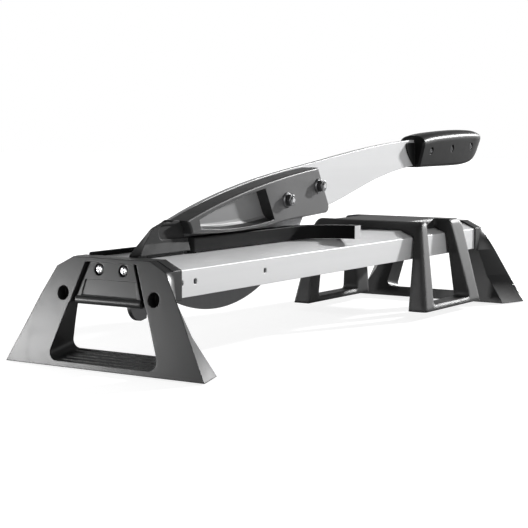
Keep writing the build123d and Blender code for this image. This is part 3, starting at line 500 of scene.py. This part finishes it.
def make_foot_screws():
    """Bright screws through both crossbars."""
    screw = pan_screw(head=0.004, height=0.0024, shank=0.002, length=0.016)
    offset = 0.0122
    level = 0.0793
    for end, seat, node in ((-1, -0.325, "left_foot_screws"), (1, 0.241, "right_foot_screws")):
        places = [(seat, side * offset, level) for side in (-1, 1)]
        screws = set_along(screw, (end, 0, 0), places)
        keep_piece(node.replace("_foot", ""), screws, "base", "zinc_steel", node)


def make_cover_fasteners():
    """Flange nuts on the cover's face and the bolts that come through from the rear."""
    places = [(-0.1002, -0.02, 0.125), (-0.045, -0.02, 0.1359)]
    bm = bmesh.new()
    flat = 0.005
    corner = flat / math.cos(math.pi / 6)
    turned(bm, [(0.00305, 0.0), (0.0071, 0.0), (0.0071, 0.0006), (0.0067, 0.001), (0.0059, 0.0016),
                (hexagon(flat, corner), 0.00165), (hexagon(flat, corner), 0.0053),
                (hexagon(flat, corner * 0.95), 0.0057), (flat * 0.97, 0.006), (0.0037, 0.006),
                (0.0031, 0.0055), (0.00305, 0.0)], 72)
    bmesh.ops.remove_doubles(bm, verts=bm.verts[:], dist=1e-7)
    nuts = set_along(smooth_mesh("flange_nut", bm), (0, -1, 0), places)
    keep_piece("flange_nuts", nuts, "lever", "blade_steel", "cover_nuts")
    bm = bmesh.new()
    rear = -0.038
    turned(bm, [(0, rear - 0.004), (flat * 0.93, rear - 0.004), (hexagon(flat, corner * 0.94), rear - 0.0037),
                (hexagon(flat, corner), rear - 0.0032), (hexagon(flat, corner), rear - 0.0003),
                (flat * 0.96, rear - 0.0002), (flat * 0.96, rear), (0.003, rear)]
           + thread_profile(0.003, -0.008, 0.0066, 0.001, 0.0003)
           + [(0.0021, 0.0074), (0, 0.0074)], 72)
    bolts = set_along(smooth_mesh("clamp_bolt", bm), (0, -1, 0), places)
    keep_piece("clamp_bolts", bolts, "lever", "zinc_steel", "cover_bolts")


def make_grip_halves():
    """Grip's halves, their back flatter and their shoulders fuller than the plain dome."""
    seam = 0.0045
    dome = 0.0093
    open_end = 0.1912
    flatness = 0.4
    down = Vector((0.0, 0.0, -1.0))
    for name, node, side in (("grip_near_half", "grip_front", -1), ("grip_far_half", "grip_rear", 1)):
        mesh = nodes[node].data.copy()
        mesh.name = name
        skin = BVHTree.FromPolygons([v.co for v in mesh.vertices], [p.vertices for p in mesh.polygons])
        squash = [1.0] * len(mesh.vertices)
        for vert in mesh.vertices:
            crest = skin.ray_cast(Vector((vert.co.x, seam + side * 0.00005, 1.0)), down)[0]
            drop = crest.z - vert.co.z if crest else dome
            if vert.co.x > open_end and 0.0 < drop < dome:
                vert.co.z = crest.z - drop * (flatness + (1.0 - flatness) * drop / dome)
                squash[vert.index] = flatness + 2.0 * (1.0 - flatness) * drop / dome
        turned_up = []
        for loop, corner in zip(mesh.loops, nodes[node].data.corner_normals):
            normal = corner.vector.copy()
            normal.z /= squash[loop.vertex_index]
            turned_up.append(normal.normalized())
        mesh.normals_split_custom_set(turned_up)
        keep_piece(name, mesh, "lever", "grip_plastic", node)


def make_grip_screws():
    """Three screws sunk in the grip."""
    screw = pan_screw(head=0.0035, height=0.002, shank=0.0019, length=0.018)
    places = [(0.213, -0.0063, 0.1645), (0.264, -0.0063, 0.1665), (0.314, -0.0063, 0.1682)]
    keep_piece("handle_screws", set_along(screw, (0, -1, 0), places), "lever", "blade_steel", "grip_screws")


def make_pivot_bolt():
    """Hexagon bolt of the lever's pivot."""
    bm = bmesh.new()
    flat = 0.0065
    corner = flat / math.cos(math.pi / 6)
    shank = 0.004
    turned(bm, [(0, 0.0053), (flat * 0.93, 0.0053), (hexagon(flat, corner * 0.94), 0.0049),
                (hexagon(flat, corner), 0.0043), (hexagon(flat, corner), 0.0004), (flat * 0.96, 0.0003),
                (flat * 0.96, 0.0), (shank, 0.0), (shank, -0.0066)]
           + thread_profile(shank, -0.0068, -0.0126, 0.00125, 0.0004)
           + [(0.003, -0.0132), (0, -0.0132)], 72)
    bolt = set_along(smooth_mesh("hex_bolt", bm), (0, 1, 0), [(-0.26, 0.0035, 0.1025)])
    keep_piece("pivot_hex_bolt", bolt, "base", "zinc_steel", "pivot_bolt")


round_over("near_extrusion", "front_rail", "base", 0.0004)
round_over("far_extrusion", "rear_rail", "base", 0.0004)
round_over("table_strip", "rear_strip", "base", 0.0005)
round_over("lever_blank", "lever_arm", "lever", 0.0005)
round_over("cutting_blade", "blade", "lever", 0.0003)
make_foot_screws()
make_cover_fasteners()
make_grip_halves()
make_grip_screws()
make_pivot_bolt()


# Floor, light and camera
def lay_floor():
    """Wide pale floor that stays white for the eye and keeps the soft shadow."""
    bm = bmesh.new()
    bmesh.ops.create_grid(bm, x_segments=8, y_segments=8, size=6.0)
    bmesh.ops.translate(bm, verts=bm.verts, vec=(0.0, 0.0, -0.0004))
    mesh = bpy.data.meshes.new("floor")
    bm.to_mesh(mesh)
    bm.free()
    floor = bpy.data.objects.new("floor", mesh)
    bpy.context.scene.collection.objects.link(floor)
    finish = Finish("pale_floor", Roughness=0.9, Specular_IOR_Level=0.1, Emission_Color=(1.0, 1.0, 1.0, 1.0))
    tree = finish.tree
    cloud = finish.group(moulded_grain, Grain=300.0)
    finish.feed("Base Color", finish.tint(cloud["Flow"], (0.34, 0.34, 0.34), (0.38, 0.38, 0.38)))
    place = tree.nodes.new("ShaderNodeTexCoord").outputs["Object"]
    away = tree.nodes.new("ShaderNodeVectorMath")
    away.operation = "LENGTH"
    tree.links.new(place, away.inputs[0])
    path = tree.nodes.new("ShaderNodeLightPath").outputs
    mirrored = math_in(tree, "MAXIMUM", path["Is Glossy Ray"], path["Is Transmission Ray"])
    mirrored_glow = spread_in(tree, away.outputs["Value"], 0.6, 2.4, 0.02, 0.7)
    mirrored = math_in(tree, "MULTIPLY", mirrored, mirrored_glow)
    direct_glow = spread_in(tree, away.outputs["Value"], 0.3, 0.9, 0.82, 1.0)
    direct = math_in(tree, "MULTIPLY", path["Is Camera Ray"], direct_glow)
    finish.feed("Emission Strength", math_in(tree, "ADD", mirrored, direct))
    mesh.materials.append(finish.material)


def light_world():
    """White studio walls for the eye and for reflections, dim overhead and at the left, and a plain fill."""
    world = bpy.data.worlds.new("studio")
    bpy.context.scene.world = world
    world.use_nodes = True
    tree = world.node_tree
    fill = tree.nodes["Background"]
    fill.inputs["Color"].default_value = (1.0, 1.0, 1.0, 1.0)
    fill.inputs["Strength"].default_value = 0.17
    walls = tree.nodes.new("ShaderNodeBackground")
    walls.inputs["Color"].default_value = (1.0, 1.0, 1.0, 1.0)
    path = tree.nodes.new("ShaderNodeLightPath").outputs
    split = tree.nodes.new("ShaderNodeSeparateXYZ")
    tree.links.new(tree.nodes.new("ShaderNodeTexCoord").outputs["Generated"], split.inputs[0])
    height = spread_in(tree, split.outputs["Z"], 0.1, 0.42, 1.0, 0.12)
    side = spread_in(tree, split.outputs["X"], -0.5, 0.35, 0.3, 1.0)
    wall = math_in(tree, "MULTIPLY", height, side)
    tree.links.new(math_in(tree, "MAXIMUM", wall, path["Is Camera Ray"]), walls.inputs["Strength"])
    seen = math_in(tree, "MAXIMUM", path["Is Camera Ray"], path["Is Glossy Ray"])
    seen = math_in(tree, "MAXIMUM", seen, path["Is Transmission Ray"])
    mix = tree.nodes.new("ShaderNodeMixShader")
    tree.links.new(seen, mix.inputs["Fac"])
    tree.links.new(fill.outputs[0], mix.inputs[1])
    tree.links.new(walls.outputs[0], mix.inputs[2])
    tree.links.new(mix.outputs[0], tree.nodes["World Output"].inputs["Surface"])


def hang_softbox(name, place, target, width, height, glow):
    """Rectangular soft light of a given brightness that the camera doesn't see."""
    data = bpy.data.lights.new(name, "AREA")
    data.shape = "RECTANGLE"
    data.size = width
    data.size_y = height
    data.energy = glow * math.pi * width * height
    lamp = bpy.data.objects.new(name, data)
    lamp.location = place
    lamp.rotation_euler = (Vector(target) - Vector(place)).to_track_quat("-Z", "Y").to_euler()
    lamp.visible_camera = False
    bpy.context.scene.collection.objects.link(lamp)


def place_camera():
    """Camera at the photo's low three-quarter angle."""
    data = bpy.data.cameras.new("camera")
    data.lens = 98.1
    data.sensor_width = 36.0
    data.clip_start = 0.01
    data.clip_end = 50.0
    camera = bpy.data.objects.new("camera", data)
    camera.location = (-1.2037, -0.7162, 0.1941)
    camera.rotation_euler = Vector((0.8331, 0.5445, -0.0972)).to_track_quat("-Z", "Y").to_euler()
    bpy.context.scene.collection.objects.link(camera)
    bpy.context.scene.camera = camera


bpy.context.scene.view_settings.view_transform = "Standard"
lay_floor()
light_world()
part_middle = (0.0, 0.0, 0.1)
rear_leg = (-0.335, 0.085, 0.02)
hang_softbox("key_softbox", (6.2, -2.1, 2.4), part_middle, width=0.35, height=0.35, glow=1750.0)
hang_softbox("front_softbox", (-1.2, -5.4, 1.3), part_middle, width=3.2, height=1.6, glow=4.2)
hang_softbox("rear_softbox", (0.5, 5.5, 1.5), part_middle, width=3.0, height=1.5, glow=6.0)
hang_softbox("top_softbox", (0.0, 0.3, 2.2), part_middle, width=1.5, height=1.5, glow=0.12)
hang_softbox("rim_softbox", (-0.53, 0.262, 0.045), rear_leg, width=0.16, height=0.08, glow=26.0)
place_camera()
